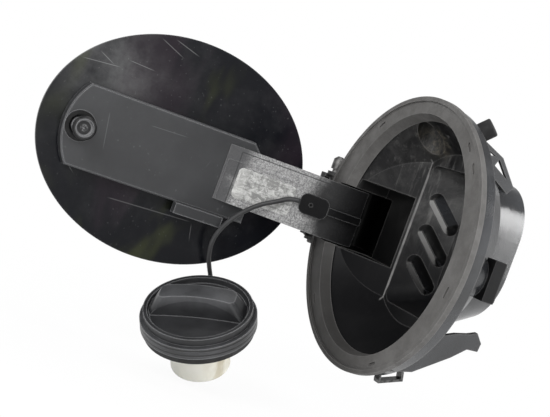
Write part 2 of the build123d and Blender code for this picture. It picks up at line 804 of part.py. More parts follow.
with BuildPart() as cap_neck:
    with BuildSketch(cap_plane.offset(-knob_base)):
        Circle(neck_radius)
    extrude(amount=-cap_seal_height - neck_length)
    fillet(cap_neck.edges().sort_by(Axis(cap_plane.origin, cap_up))[0], neck_round)
    with BuildSketch(cap_plane.offset(-knob_base - cap_seal_height - neck_length)):
        Circle(neck_radius - neck_wall)
    extrude(amount=neck_length, mode=Mode.SUBTRACT)
write(cap_neck, "cap_neck")

# Vacuum valve and its spring inside the neck
valve_top = -knob_base - cap_seal_height
with BuildPart() as cap_valve:
    with BuildSketch(cap_plane.offset(valve_top - valve_spring_height)):
        Circle(neck_radius - neck_wall - pin_clearance)
    extrude(amount=-valve_thickness)
write(cap_valve, "cap_valve")

valve_coil_height = valve_spring_height - 2 * spring_wire
with BuildPart() as valve_spring:
    with BuildLine() as valve_coil:
        Helix(
            valve_coil_height / valve_spring_turns,
            valve_coil_height,
            valve_spring_radius,
            center=cap_plane.offset(valve_top - valve_spring_height + spring_wire).origin,
            direction=cap_up,
        )
    with BuildSketch(Plane(origin=valve_coil.line @ 0, z_dir=valve_coil.line % 0)):
        Circle(spring_wire)
    sweep(is_frenet=True)
write(valve_spring, "valve_spring")

# Tether: limp plastic line from the clip to the swivel ring
eyelet = cap_plane.origin + cap_plane.x_dir * eyelet_shift + cap_rear * (ring_radius + eyelet_radius / 2)
tether_end = eyelet + cap_up * (ring_height / 2)
tether_start = ramp_plane(clip_thickness / 2).from_local_coords((clip_along - clip_length / 2, clip_z, 0))
tether_exit = tether_start - ramp_run * tether_lead
tether_points = [tether_start, tether_exit] + [Vector(*point) for point in tether_route] + [tether_end]


def bend_radii(points):
    # Largest arc that the two runs at each corner leave room for
    radii = []
    for before, corner, after in zip(points, points[1:], points[2:]):
        run_in = corner - before
        run_out = after - corner
        shorter = min(run_in.length, run_out.length)
        radii.append(bend_share * shorter / tan(radians(run_in.get_angle(run_out)) / 2))
    return radii


with BuildPart() as tether:
    with BuildLine() as tether_line:
        FilletPolyline(*tether_points, radius=bend_radii(tether_points))
    with BuildSketch(Plane(origin=tether_line.line @ 0, z_dir=tether_line.line % 0)):
        Circle(tether_diameter / 2)
    sweep()
write(tether, "tether")
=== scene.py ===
import json
import math

import bmesh
import bpy
from mathutils import Matrix, Vector


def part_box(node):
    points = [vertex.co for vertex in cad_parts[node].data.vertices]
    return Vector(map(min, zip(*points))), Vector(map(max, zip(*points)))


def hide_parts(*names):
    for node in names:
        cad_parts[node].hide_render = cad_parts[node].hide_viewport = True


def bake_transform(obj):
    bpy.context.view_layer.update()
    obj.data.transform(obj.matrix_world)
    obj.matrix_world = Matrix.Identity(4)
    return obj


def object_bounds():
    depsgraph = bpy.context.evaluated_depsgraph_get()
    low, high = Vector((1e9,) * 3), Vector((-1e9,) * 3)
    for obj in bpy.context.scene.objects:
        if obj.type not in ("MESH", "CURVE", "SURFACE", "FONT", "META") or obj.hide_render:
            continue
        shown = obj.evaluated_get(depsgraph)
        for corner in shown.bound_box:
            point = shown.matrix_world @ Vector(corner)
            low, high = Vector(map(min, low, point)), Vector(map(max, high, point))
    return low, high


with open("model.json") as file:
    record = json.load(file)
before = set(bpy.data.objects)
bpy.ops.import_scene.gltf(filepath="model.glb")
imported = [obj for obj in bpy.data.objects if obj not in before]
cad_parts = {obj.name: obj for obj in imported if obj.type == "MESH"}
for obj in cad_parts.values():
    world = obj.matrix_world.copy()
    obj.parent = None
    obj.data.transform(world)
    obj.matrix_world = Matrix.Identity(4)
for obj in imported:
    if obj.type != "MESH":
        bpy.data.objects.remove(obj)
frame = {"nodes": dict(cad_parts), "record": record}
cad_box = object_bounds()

nodes = frame["nodes"]
scene = bpy.context.scene
scene.view_settings.view_transform = "Standard"

# Camera at the photograph's angle, fitted to the ovals of the rim and the door
camera_data = bpy.data.cameras.new("camera")
camera_data.sensor_width = 36.0
camera_data.lens = 77.13
camera = bpy.data.objects.new("camera", camera_data)
camera_right = Vector((0.3382, 0.8762, 0.3434))
camera_up = Vector((-0.1655, -0.3038, 0.9383))
camera_back = Vector((0.9264, -0.3742, 0.0423))
camera_at = Vector((0.6109, -0.3174, 0.0199))
camera.matrix_world = Matrix(
    [[camera_right[i], camera_up[i], camera_back[i], camera_at[i]] for i in range(3)] + [[0, 0, 0, 1]]
)
scene.collection.objects.link(camera)
scene.camera = camera

# Directions of the shared frame
along_x = (1, 0, 0)
along_y = (0, 1, 0)
up = (0, 0, 1)
down = (0, 0, -1)
out_of_mouth = (0, -1, 0)

# Ridge in the pot, the faces that meet there and the fins' two flanks
ridge = (-0.0315, 0.0300, 0.0)
cheek_out = (0.4511, -0.8925, 0.0)
slope_run = (0.7322, 0.6811, 0.0)
slope_out = (0.6811, -0.7322, 0.0)
fin_flank = (-0.040, -0.781, -0.623)
fin_back = (0.782, -0.017, 0.623)
vent_recess = (-0.020, 0.020, 0.062)

# Directions along which the pot's dust and painted light grow, and along which the rim's painted shade
# lightens
dust_and_light_rise = (0.35, 0.0, 0.94)
rim_shade_rise = (0.6, 0.0, 0.8)

# Dusty sheen on the door, and the arm's straight ramp with the moulded line round its label
sheen_centre = (-0.113, -0.160, 0.034)
arm_run = (0.4428, 0.8966, 0.0)
arm_start = (-0.1065, -0.0710, 0.0)
label_line_run = 0.0085
label_line_height = 0.0148

# The cap's middle, its axis, the direction to its right and the grooves' levels along the axis
cap_centre = (-0.0803, -0.0612, -0.0927)
cap_axis = (0.3352, -0.4530, 0.8259)
cap_right = (0.3382, 0.8762, 0.3434)
cap_groove_levels = (-0.0012, 0.0022)

# Radius of the turned ring on the latch post's end
post_ring_radius = 0.0050

# Scratches that the photo shows on the door and its carrier, as y and z of both ends in metres
door_scratches = (
    ((-0.1357, 0.0648), (-0.1165, 0.0573)),
    ((-0.1268, 0.0672), (-0.1071, 0.0619)),
    ((-0.1792, 0.0360), (-0.1529, 0.0386)),
    ((-0.1695, 0.0438), (-0.1570, 0.0380)),
    ((-0.1505, 0.0445), (-0.1311, 0.0437)),
    ((-0.1727, -0.0226), (-0.1587, -0.0343)),
)
door_creases = (
    ((-0.1345, -0.0413), (-0.0755, -0.0395)),
    ((-0.0755, -0.0395), (-0.0727, -0.0529)),
)
carrier_scratches = (
    ((-0.1526, 0.0110), (-0.1485, -0.0147)),
    ((-0.0823, -0.0031), (-0.0797, 0.0032)),
    ((-0.1259, 0.0108), (-0.0985, 0.0117)),
)

# Colours that several materials share
# Black for painted shade
shade_black = (0.003, 0.003, 0.003)
# Pale for worn edges, a colour that also serves as a painted highlight
worn_edge_highlight_warm = (0.20, 0.195, 0.19)
worn_edge_highlight_cool = (0.22, 0.22, 0.225)


class Paint:
    # A material with short ways to add nodes to it
    def __init__(self, name, **sockets):
        self.material = bpy.data.materials.new(name)
        self.material.use_nodes = True
        self.tree = self.material.node_tree
        self.shader = self.tree.nodes["Principled BSDF"]
        self.coordinates = self.add("ShaderNodeTexCoord")
        self.place = self.coordinates.outputs["Object"]
        self.normal = self.add("ShaderNodeNewGeometry").outputs["Normal"]
        for socket, value in sockets.items():
            self.put(self.shader.inputs[socket.replace("_", " ")], value)

    def add(self, kind, **settings):
        node = self.tree.nodes.new(kind)
        for key, value in settings.items():
            setattr(node, key, value)
        return node

    def put(self, socket, value):
        if isinstance(value, bpy.types.NodeSocket):
            self.tree.links.new(value, socket)
        else:
            socket.default_value = value

    def mapped(self, stretch=(1, 1, 1), turn=(0, 0, 0), shift=(0, 0, 0)):
        node = self.add("ShaderNodeMapping")
        self.put(node.inputs["Vector"], self.place)
        node.inputs["Scale"].default_value = stretch
        node.inputs["Rotation"].default_value = [math.radians(angle) for angle in turn]
        node.inputs["Location"].default_value = shift
        return node.outputs["Vector"]

    def noise(self, scale, detail=4.0, roughness=0.6, distortion=0.0, stretch=(1, 1, 1), turn=(0, 0, 0)):
        node = self.add("ShaderNodeTexNoise")
        self.put(node.inputs["Vector"], self.mapped(stretch, turn))
        node.inputs["Scale"].default_value = scale
        node.inputs["Detail"].default_value = detail
        node.inputs["Roughness"].default_value = roughness
        node.inputs["Distortion"].default_value = distortion
        return node.outputs["Fac"]

    def between(self, value, low, high, to_low=0.0, to_high=1.0):
        node = self.add("ShaderNodeMapRange", interpolation_type="SMOOTHSTEP")
        self.put(node.inputs["Value"], value)
        node.inputs["From Min"].default_value = low
        node.inputs["From Max"].default_value = high
        node.inputs["To Min"].default_value = to_low
        node.inputs["To Max"].default_value = to_high
        return node.outputs["Result"]

    def math(self, operation, first, second=0.0):
        node = self.add("ShaderNodeMath", operation=operation)
        self.put(node.inputs[0], first)
        self.put(node.inputs[1], second)
        return node.outputs[0]

    def chain(self, operation, values):
        # One value from several, taken in turn
        total = values[0]
        for value in values[1:]:
            total = self.math(operation, total, value)
        return total

    def times(self, *values):
        return self.chain("MULTIPLY", values)

    def plus(self, *values):
        return self.chain("ADD", values)

    def most(self, *values):
        return self.chain("MAXIMUM", values)

    def off(self, value, level):
        # How far a value is from a level, either way
        return self.math("ABSOLUTE", self.math("SUBTRACT", value, level))

    def mix(self, share, first, second):
        node = self.add("ShaderNodeMix", data_type="RGBA")
        self.put(node.inputs["Factor"], share)
        colours = [socket for socket in node.inputs if socket.type == "RGBA"]
        self.put(colours[0], first if isinstance(first, bpy.types.NodeSocket) else (*first, 1.0))
        self.put(colours[1], second if isinstance(second, bpy.types.NodeSocket) else (*second, 1.0))
        return [socket for socket in node.outputs if socket.type == "RGBA"][0]

    def vector(self, operation, first, second, output="Value"):
        node = self.add("ShaderNodeVectorMath", operation=operation)
        self.put(node.inputs[0], first)
        self.put(node.inputs[1], second)
        return node.outputs[output]

    def along(self, direction, origin=(0, 0, 0)):
        # Distance from a point along a direction, in metres
        offset = self.vector("SUBTRACT", self.place, origin, "Vector")
        return self.vector("DOT_PRODUCT", offset, direction)

    def facing(self, direction):
        # How far the surface looks along a direction of the frame, for what doesn't move
        return self.vector("DOT_PRODUCT", self.normal, direction)

    def own_facing(self, direction):
        # The same by the piece's own normal, so it holds while the piece turns
        return self.vector("DOT_PRODUCT", self.coordinates.outputs["Normal"], direction)

    def near(self, point, inner, outer):
        # One within a distance of a point, fading to none further out
        return self.between(self.vector("DISTANCE", self.place, point), outer, inner)

    def edges(self, radius, amount):
        # Worn edges, pale where a rounded normal departs from the flat one; the pale also stands as a
        # painted highlight
        node = self.add("ShaderNodeBevel", samples=4)
        node.inputs["Radius"].default_value = radius
        agreement = self.vector("DOT_PRODUCT", node.outputs["Normal"], self.normal)
        return self.between(agreement, 0.995, 0.88, 0.0, amount)

    def mark(self, start, end, width):
        # One straight scratch between two points of the door, given as y and z
        start = Vector((0.0, *start))
        end = Vector((0.0, *end))
        length = (end - start).length
        run = (end - start) / length
        across = Vector((0.0, -run.z, run.y))
        offset = self.math("ABSOLUTE", self.along(across, start))
        place = self.along(run, start)
        fade_in = self.between(place, 0.0, 0.004)
        fade_out = self.between(place, length, length - 0.006)
        return self.times(self.between(offset, width, width * 0.3), fade_in, fade_out)

    def marks(self, lines, width):
        return self.most(*[self.mark(start, end, width) for start, end in lines])

    def dusty(self):
        # Cloudy dust, and the share of it that shows together with fine specks
        dust = self.noise(28.0, detail=8.0, roughness=0.65)
        speck = self.between(self.noise(700.0, detail=2.0), 0.60, 0.78)
        share = self.plus(self.between(dust, 0.35, 0.75, 0.0, 0.8), self.times(speck, 0.25))
        return dust, share

    def bump(self, height, distance, strength, under=None):
        node = self.add("ShaderNodeBump")
        self.put(node.inputs["Height"], height)
        node.inputs["Distance"].default_value = distance
        node.inputs["Strength"].default_value = strength
        if under is not None:
            self.put(node.inputs["Normal"], under)
        return node.outputs["Normal"]

    def finish(self, colour, roughness, normal):
        self.put(self.shader.inputs["Base Color"], colour)
        self.put(self.shader.inputs["Roughness"], roughness)
        self.put(self.shader.inputs["Normal"], normal)
        return self.material


def worn_plastic(name, dark, light, rough=(0.40, 0.60), specular=0.4, worn_edge_highlight=0.25):
    # Moulded plastic: fine grain, cloudy dust, specks, and worn edges painted pale that also serve as a
    # painted highlight
    paint = Paint(name, Specular_IOR_Level=specular)
    dust, share = paint.dusty()
    colour = paint.mix(share, dark, light)
    colour = paint.mix(paint.edges(0.0008, worn_edge_highlight), colour, (0.16, 0.16, 0.16))
    roughness = paint.between(dust, 0.3, 0.7, *rough)
    grain = paint.bump(paint.noise(900.0, detail=3.0), 0.00006, 0.6)
    return paint.finish(colour, roughness, grain)


def rubber(name, dark, light, rough=(0.6, 0.85)):
    # Weathered rubber: chalky bloom in patches and a fine pitted skin
    paint = Paint(name, Specular_IOR_Level=0.3)
    bloom = paint.noise(45.0, detail=9.0, roughness=0.7, distortion=0.4)
    fine = paint.noise(1100.0, detail=2.0)
    share = paint.plus(paint.between(bloom, 0.32, 0.72), paint.between(fine, 0.55, 0.8, 0.0, 0.25))
    colour = paint.mix(share, dark, light)
    roughness = paint.between(bloom, 0.3, 0.7, rough[1], rough[0])
    return paint.finish(colour, roughness, paint.bump(fine, 0.00008, 0.5))


def steel(name, dark, light, rough=(0.3, 0.5)):
    # Oiled wire and pins: bare metal with a darker film
    paint = Paint(name, Metallic=1.0)
    film = paint.noise(220.0, detail=6.0, roughness=0.6)
    turned = paint.noise(60.0, detail=2.0, stretch=(1, 1, 30))
    colour = paint.mix(paint.between(film, 0.35, 0.7), dark, light)
    roughness = paint.between(film, 0.3, 0.7, *rough)
    return paint.finish(colour, roughness, paint.bump(turned, 0.00003, 0.4))


def seal_rubber():
    # Warm grey rubber with a slightly paler bloom and fine pits, painted shade low on the rim, and worn
    # edges painted pale as a painted highlight
    paint = Paint("seal_rubber", Specular_IOR_Level=0.25)
    bloom = paint.noise(70.0, detail=8.0, roughness=0.7)
    fine = paint.noise(1300.0, detail=2.0)
    share = paint.plus(paint.between(bloom, 0.30, 0.75), paint.between(fine, 0.5, 0.8, -0.1, 0.25))
    colour = paint.mix(share, (0.078, 0.075, 0.072), (0.118, 0.115, 0.111))
    # Painted shade: the rim darkens towards its low side
    low = paint.between(paint.along(rim_shade_rise), -0.012, -0.076, 0.0, 0.90)
    colour = paint.mix(low, colour, (0.020, 0.019, 0.018))
    colour = paint.mix(paint.edges(0.0009, 0.35), colour, worn_edge_highlight_warm)
    roughness = paint.between(bloom, 0.3, 0.7, 0.62, 0.50)
    return paint.finish(colour, roughness, paint.bump(fine, 0.00007, 0.5))


def pot_plastic():
    # Outside moulded glossy, inside satin with settled dust, brown grit in the vent recess. Painted light
    # and shade: the dust lighter high up and darker under the wall, a black recess, pale and dark fin
    # flanks, a pale ridge and pale edges
    paint = Paint("pot_plastic")
    cloud = paint.noise(24.0, detail=9.0, roughness=0.68, distortion=0.5)
    speck = paint.between(paint.noise(520.0, detail=2.0), 0.62, 0.80)
    streak = paint.noise(60.0, detail=4.0, stretch=(1, 0.25, 1))
    scuff = paint.noise(240.0, detail=5.0, roughness=0.75, stretch=(1.0, 1.0, 0.12), turn=(0, 35, 0))
    # Inside are the faces that look out of the mouth or in towards the pot's middle
    outward = paint.add("ShaderNodeVectorMath", operation="NORMALIZE")
    paint.put(outward.inputs[0], paint.mapped(stretch=(1, 0, 1), shift=(0.0, 0.0, -0.005)))
    inward = paint.facing(outward.outputs["Vector"])
    inside = paint.most(
        paint.between(paint.facing(out_of_mouth), -0.05, 0.5),
        paint.between(inward, -0.05, -0.30),
    )
    # Dust grows towards the top, which also paints light on the upper wall and shade low in the pot
    high = paint.between(paint.along(dust_and_light_rise), -0.040, 0.035, 0.03, 1.0)
    # Less dust and gloss under the overhanging wall, which also paints shade there
    open_up = paint.between(paint.facing(down), 0.15, 0.50, 1.0, 0.75)
    dust = paint.plus(
        paint.times(paint.between(cloud, 0.38, 0.70), paint.between(streak, 0.3, 0.7, 0.4, 1.0)),
        paint.between(scuff, 0.52, 0.74, 0.0, 0.75),
        paint.times(speck, 0.45),
    )
    dust = paint.times(dust, paint.between(inside, 0.0, 1.0, 0.15, 1.0), high, open_up)
    colour = paint.mix(dust, (0.0045, 0.0045, 0.005), (0.098, 0.096, 0.093))
    # Painted shade: the arm's recess, behind the cheek, is painted black
    behind = paint.times(
        inside,
        paint.between(paint.along(cheek_out, ridge), -0.0006, -0.0030),
        paint.between(paint.along(along_x, ridge), -0.0010, -0.0030),
        0.85,
    )
    colour = paint.mix(behind, colour, shade_black)
    # Drip fins: a painted highlight makes one flank pale, painted shade makes the other dark
    rise = paint.along(slope_out, ridge)
    run = paint.along(slope_run, ridge)
    height = paint.along(up)
    fins = paint.times(
        paint.between(rise, 0.0004, 0.0010),
        paint.between(rise, 0.0100, 0.0085),
        paint.between(run, 0.038, 0.036),
        paint.between(run, 0.0, 0.001),
        paint.between(height, 0.0400, 0.0385),
    )
    flank_highlight = paint.times(
        fins,
        paint.between(paint.facing(fin_flank), 0.75, 0.95),
        paint.between(height, -0.030, 0.025, 0.10, 0.90),
    )
    colour = paint.mix(flank_highlight, colour, (0.40, 0.395, 0.385))
    shade = paint.times(
        fins,
        paint.between(paint.facing(fin_back), 0.70, 0.90),
        paint.between(rise, 0.0050, 0.0030),
        0.92,
    )
    colour = paint.mix(shade, colour, shade_black)
    # The ridge between the cheek and the slope is worn to a pale line that also serves as a painted
    # highlight
    worn = paint.times(
        paint.between(paint.math("ABSOLUTE", paint.along(along_x, ridge)), 0.0008, 0.0003),
        paint.between(paint.math("ABSOLUTE", paint.along(along_y, ridge)), 0.0025, 0.0015),
        paint.between(streak, 0.3, 0.6, 0.30, 0.75),
    )
    colour = paint.mix(worn, colour, (0.22, 0.215, 0.21))
    grit = paint.between(paint.noise(300.0, detail=6.0, roughness=0.75), 0.42, 0.72)
    brown = paint.times(paint.near(vent_recess, 0.006, 0.0165), grit)
    colour = paint.mix(brown, colour, (0.160, 0.138, 0.100))
    outside = paint.between(inside, 0.0, 0.6, 1.0, 0.0)
    shell = paint.mix(paint.between(cloud, 0.3, 0.7), (0.013, 0.0135, 0.0145), (0.036, 0.0375, 0.041))
    colour = paint.mix(outside, colour, shell)
    colour = paint.mix(paint.edges(0.0012, 0.30), colour, worn_edge_highlight_warm)
    satin = paint.times(paint.between(high, 0.0, 1.0, 0.08, 0.32), open_up)
    gloss = paint.most(paint.times(outside, 0.95), satin)
    paint.put(paint.shader.inputs["Specular IOR Level"], gloss)
    roughness = paint.plus(paint.between(inside, 0.0, 1.0, 0.20, 0.38), paint.times(dust, 0.3))
    ripple = paint.bump(paint.noise(30.0, detail=2.0), 0.0009, 0.45)
    grain = paint.bump(paint.noise(900.0, detail=3.0), 0.00005, 0.4, ripple)
    return paint.finish(colour, roughness, grain)


def door_paint():
    # Gloss black with green and violet casts, a painted dusty sheen near the top, long scratches, and edges
    # painted pale as a painted highlight
    paint = Paint("door_paint", Specular_IOR_Level=0.13)
    cast = paint.noise(13.0, detail=3.0, distortion=0.9, stretch=(1.0, 1.0, 0.5), turn=(35, 0, 0))
    violet = paint.between(cast, 0.45, 0.34)
    green = paint.between(cast, 0.51, 0.62)
    tint = paint.mix(violet, (0.0050, 0.0054, 0.0070), (0.0135, 0.0105, 0.0140))
    tint = paint.mix(green, tint, (0.023, 0.026, 0.012))
    haze = paint.noise(40.0, detail=8.0, roughness=0.7)
    speck = paint.between(paint.noise(520.0, detail=1.0), 0.69, 0.79)
    sheen = paint.times(paint.near(sheen_centre, 0.008, 0.050), paint.between(haze, 0.25, 0.75, 0.08, 0.36))
    scratches = paint.times(paint.marks(door_scratches, 0.00034), 0.50)
    creases = paint.times(paint.marks(door_creases, 0.00045), 0.34)
    # Only the inner side is marked
    inner_side = paint.between(paint.own_facing(along_x), -0.1, 0.1)
    share = paint.plus(
        paint.times(paint.plus(sheen, scratches, creases), inner_side),
        paint.edges(0.0010, 0.45),
        paint.times(speck, 0.14),
        paint.between(haze, 0.45, 0.8, 0.0, 0.05),
    )
    colour = paint.mix(share, tint, (0.17, 0.17, 0.17))
    wave = paint.bump(paint.noise(14.0, detail=2.0), 0.0010, 0.30)
    return paint.finish(colour, paint.between(haze, 0.3, 0.7, 0.10, 0.24), wave)


def carrier_plastic():
    # Flat dark grey moulding, with worn edges painted pale as a painted highlight, lightly scratched
    paint = Paint("carrier_plastic", Specular_IOR_Level=0.30)
    cloud = paint.noise(18.0, detail=7.0, roughness=0.6)
    grain = paint.noise(1400.0, detail=2.0)
    speck = paint.between(paint.noise(350.0, detail=1.0), 0.70, 0.80)
    share = paint.plus(
        paint.between(cloud, 0.3, 0.75, 0.0, 0.45),
        paint.times(paint.marks(carrier_scratches, 0.00035), 0.8),
        paint.times(speck, 0.5),
    )
    colour = paint.mix(share, (0.024, 0.0245, 0.026), (0.070, 0.071, 0.073))
    colour = paint.mix(paint.edges(0.0013, 0.70), colour, worn_edge_highlight_cool)
    roughness = paint.between(cloud, 0.3, 0.7, 0.40, 0.55)
    return paint.finish(colour, roughness, paint.bump(grain, 0.00006, 0.4))


def arm_plastic():
    # Salt-and-pepper grey at the label, with painted shade at its left end and darkening to black round the
    # hook as painted shade; pale edges as a painted highlight
    paint = Paint("arm_plastic", Specular_IOR_Level=0.30)
    pepper = paint.noise(900.0, detail=3.0, roughness=0.8)
    cloud = paint.noise(30.0, detail=6.0)
    run = paint.along(arm_run, arm_start)
    fade = paint.plus(run, paint.between(cloud, 0.3, 0.7, -0.006, 0.006))
    grey = paint.mix(paint.between(pepper, 0.30, 0.70), (0.075, 0.075, 0.076), (0.350, 0.347, 0.343))
    hook_shade_black = paint.mix(paint.between(pepper, 0.45, 0.75), (0.004, 0.004, 0.0045), (0.016, 0.016, 0.017))
    # Painted shade at the arm's left end
    left_end_shade = paint.between(fade, 0.004, 0.015, 0.92, 0.0)
    grey = paint.mix(left_end_shade, grey, (0.040, 0.040, 0.042))
    # Moulded line round the label's field, painted dark as painted shade in its groove
    height = paint.along(up)
    upright = paint.times(
        paint.between(paint.off(run, label_line_run), 0.0005, 0.0002),
        paint.between(height, 0.0150, 0.0145),
    )
    level = paint.times(
        paint.between(paint.off(height, label_line_height), 0.0005, 0.0002),
        paint.between(run, 0.0080, 0.0090),
    )
    line = paint.times(paint.most(upright, level), 0.8)
    grey = paint.mix(line, grey, (0.015, 0.015, 0.016))
    # Painted shade: black round the hook, where its face turns from the light
    colour = paint.mix(paint.between(fade, 0.055, 0.073), grey, hook_shade_black)
    colour = paint.mix(paint.edges(0.0009, 0.40), colour, (0.24, 0.24, 0.24))
    roughness = paint.between(pepper, 0.3, 0.7, 0.50, 0.65)
    return paint.finish(colour, roughness, paint.bump(pepper, 0.00012, 0.5))


def label_foil():
    # Foil without print: pale border, greyer rubbed field with faint rows
    paint = Paint("label_foil", Specular_IOR_Level=0.4, Metallic=0.15)
    blotch = paint.noise(260.0, detail=8.0, roughness=0.8, distortion=0.8)
    grit = paint.noise(1600.0, detail=2.0)
    rows = paint.noise(1.0, detail=3.0, stretch=(120.0, 120.0, 700.0))
    field = paint.between(paint.along(arm_run, arm_start), 0.0150, 0.0190)
    share = paint.plus(paint.between(blotch, 0.34, 0.66), paint.between(grit, 0.5, 0.8, -0.15, 0.25))
    share = paint.math("SUBTRACT", share, paint.times(paint.between(rows, 0.50, 0.60), 0.35))
    light = (0.50, 0.50, 0.485)
    pale = paint.mix(share, (0.26, 0.26, 0.25), light)
    worn = paint.mix(share, (0.155, 0.155, 0.150), light)
    colour = paint.mix(field, pale, worn)
    roughness = paint.between(blotch, 0.3, 0.7, 0.55, 0.38)
    return paint.finish(colour, roughness, paint.bump(blotch, 0.00010, 0.4))


def cap_plastic():
    # Satin plastic with worn edges painted pale as a painted highlight, painted shade over the sunken band,
    # and two turned grooves round the swivel ring with painted shade in them
    paint = Paint("cap_plastic", Specular_IOR_Level=0.45)
    dust, share = paint.dusty()
    colour = paint.mix(share, (0.026, 0.0265, 0.028), (0.078, 0.079, 0.083))
    level = paint.along(cap_axis, cap_centre)
    # Painted shade over the sunken band of the knob
    sunken = paint.times(paint.between(level, 0.0040, 0.0050), paint.between(level, 0.0200, 0.0100), 0.8)
    shaded = paint.mix(share, (0.006, 0.006, 0.0068), (0.020, 0.0205, 0.022))
    colour = paint.mix(sunken, colour, shaded)
    colour = paint.mix(paint.edges(0.0012, 0.75), colour, worn_edge_highlight_cool)
    # Painted shade in the two turned grooves, which a bump also sinks
    grooves = paint.most(
        *[paint.between(paint.off(level, groove), 0.0007, 0.0003) for groove in cap_groove_levels]
    )
    colour = paint.mix(paint.times(grooves, 0.85), colour, shade_black)
    sunk = paint.bump(paint.math("SUBTRACT", 1.0, grooves), 0.0005, 0.8)
    grain = paint.bump(paint.noise(900.0, detail=3.0), 0.00006, 0.6, sunk)
    return paint.finish(colour, paint.between(dust, 0.3, 0.7, 0.32, 0.46), grain)


def post_plastic():
    # Black post with a pale turned ring and pale spots in its middle, both painted highlights, and pale
    # edges as a painted highlight
    paint = Paint("post_plastic", Specular_IOR_Level=0.30)
    low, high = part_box("latch_post")
    middle = (0.0, (low[1] + high[1]) / 2, (low[2] + high[2]) / 2)
    radius = paint.vector("DISTANCE", paint.mapped(stretch=(0, 1, 1)), middle)
    worn = paint.noise(420.0, detail=5.0, roughness=0.7)
    # Painted highlight on the turned ring, and painted highlight spots in the middle
    ring = paint.between(paint.off(radius, post_ring_radius), 0.0011, 0.0004)
    middle_highlight_spots = paint.times(paint.between(radius, 0.0028, 0.0012), paint.between(worn, 0.42, 0.60), 0.9)
    share = paint.most(paint.times(ring, 0.70), middle_highlight_spots)
    colour = paint.mix(share, (0.003, 0.003, 0.0035), (0.24, 0.24, 0.245))
    colour = paint.mix(paint.edges(0.0006, 0.35), colour, (0.12, 0.12, 0.12))
    return paint.finish(colour, paint.between(worn, 0.3, 0.7, 0.30, 0.50), paint.bump(ring, 0.0006, 0.8))


def neck_plastic():
    # Ivory plastic with a brown fuel stain running down one side
    paint = Paint("neck_plastic", Specular_IOR_Level=0.5, Subsurface_Weight=0.08)
    paint.shader.inputs["Subsurface Radius"].default_value = (0.004, 0.003, 0.002)
    stain = paint.noise(55.0, detail=7.0, roughness=0.65, distortion=1.0, stretch=(1, 1, 0.4))
    fine = paint.noise(500.0, detail=3.0)
    side = paint.between(paint.along(cap_right, cap_centre), 0.000, 0.016, 0.15, 1.0)
    share = paint.times(paint.between(stain, 0.34, 0.64, 0.20, 0.95), side)
    colour = paint.mix(share, (0.76, 0.75, 0.68), (0.46, 0.41, 0.30))
    roughness = paint.between(stain, 0.3, 0.7, 0.35, 0.55)
    return paint.finish(colour, roughness, paint.bump(fine, 0.00005, 0.4))


finishes = {
    "pot_plastic": pot_plastic(),
    "seal_rubber": seal_rubber(),
    "boot_rubber": rubber("boot_rubber", (0.012, 0.012, 0.012), (0.040, 0.039, 0.038)),
    "stub_rubber": rubber("stub_rubber", (0.010, 0.010, 0.010), (0.030, 0.030, 0.030)),
    "clip_steel": steel("clip_steel", (0.05, 0.05, 0.05), (0.16, 0.16, 0.16)),
    "pin_steel": steel("pin_steel", (0.07, 0.07, 0.07), (0.24, 0.235, 0.23), (0.35, 0.55)),
    "collar_plastic": worn_plastic("collar_plastic", (0.010, 0.010, 0.010), (0.05, 0.05, 0.05)),
    "spring_steel": steel("spring_steel", (0.20, 0.20, 0.20), (0.42, 0.42, 0.42)),
    "door_paint": door_paint(),
    "carrier_plastic": carrier_plastic(),
    "arm_plastic": arm_plastic(),
    "label_foil": label_foil(),
    "motor_plastic": worn_plastic(
        "motor_plastic", (0.004, 0.004, 0.0045), (0.014, 0.014, 0.014), specular=0.2
    ),
    "post_plastic": post_plastic(),
    "post_rubber": rubber("post_rubber", (0.002, 0.002, 0.002), (0.007, 0.007, 0.007)),
    "tether_plastic": worn_plastic(
        "tether_plastic", (0.002, 0.002, 0.0025), (0.008, 0.008, 0.008), (0.35, 0.5), 0.08, 0.60
    ),
    "tether_cord": worn_plastic(
        "tether_cord", (0.014, 0.014, 0.015), (0.045, 0.045, 0.046), (0.4, 0.55), 0.35, 0.0
    ),
    "cap_plastic": cap_plastic(),
    "cap_rubber": rubber("cap_rubber", (0.006, 0.006, 0.006), (0.022, 0.022, 0.022), (0.45, 0.6)),
    "neck_plastic": neck_plastic(),
    "valve_plastic": worn_plastic("valve_plastic", (0.35, 0.35, 0.33), (0.55, 0.55, 0.52)),
}
for part in frame["record"]["subparts"]:
    mesh = nodes[part["node"]].data
    mesh.materials.clear()
    mesh.materials.append(finishes[part["material_slot"]])

# Rounded edges that catch the light, on the moulded pieces
edge_angle = math.radians(35)
edge_widths = {
    "housing": 0.0007,
    "rim_seal": 0.0006,
    "door_panel": 0.0005,
    "door_carrier": 0.0005,
    "hinge_arm": 0.0006,
    "latch_post": 0.0004,
    "tether_clip": 0.0006,
    "cap_knob": 0.0012,
    "tether_ring": 0.0008,
    "hinge_pin": 0.0003,
    "body_clip": 0.0003,
    "latch_motor": 0.0005,
    "vent_stub": 0.0005,
}
for name, width in edge_widths.items():
    bevel = nodes[name].modifiers.new("edge", "BEVEL")
    bevel.width = width
    bevel.segments = 2
    bevel.limit_method = "ANGLE"
    bevel.angle_limit = edge_angle
    for polygon in nodes[name].data.polygons:
        polygon.use_smooth = True
    smooth = nodes[name].modifiers.new("normals", "WEIGHTED_NORMAL")
    smooth.keep_sharp = True

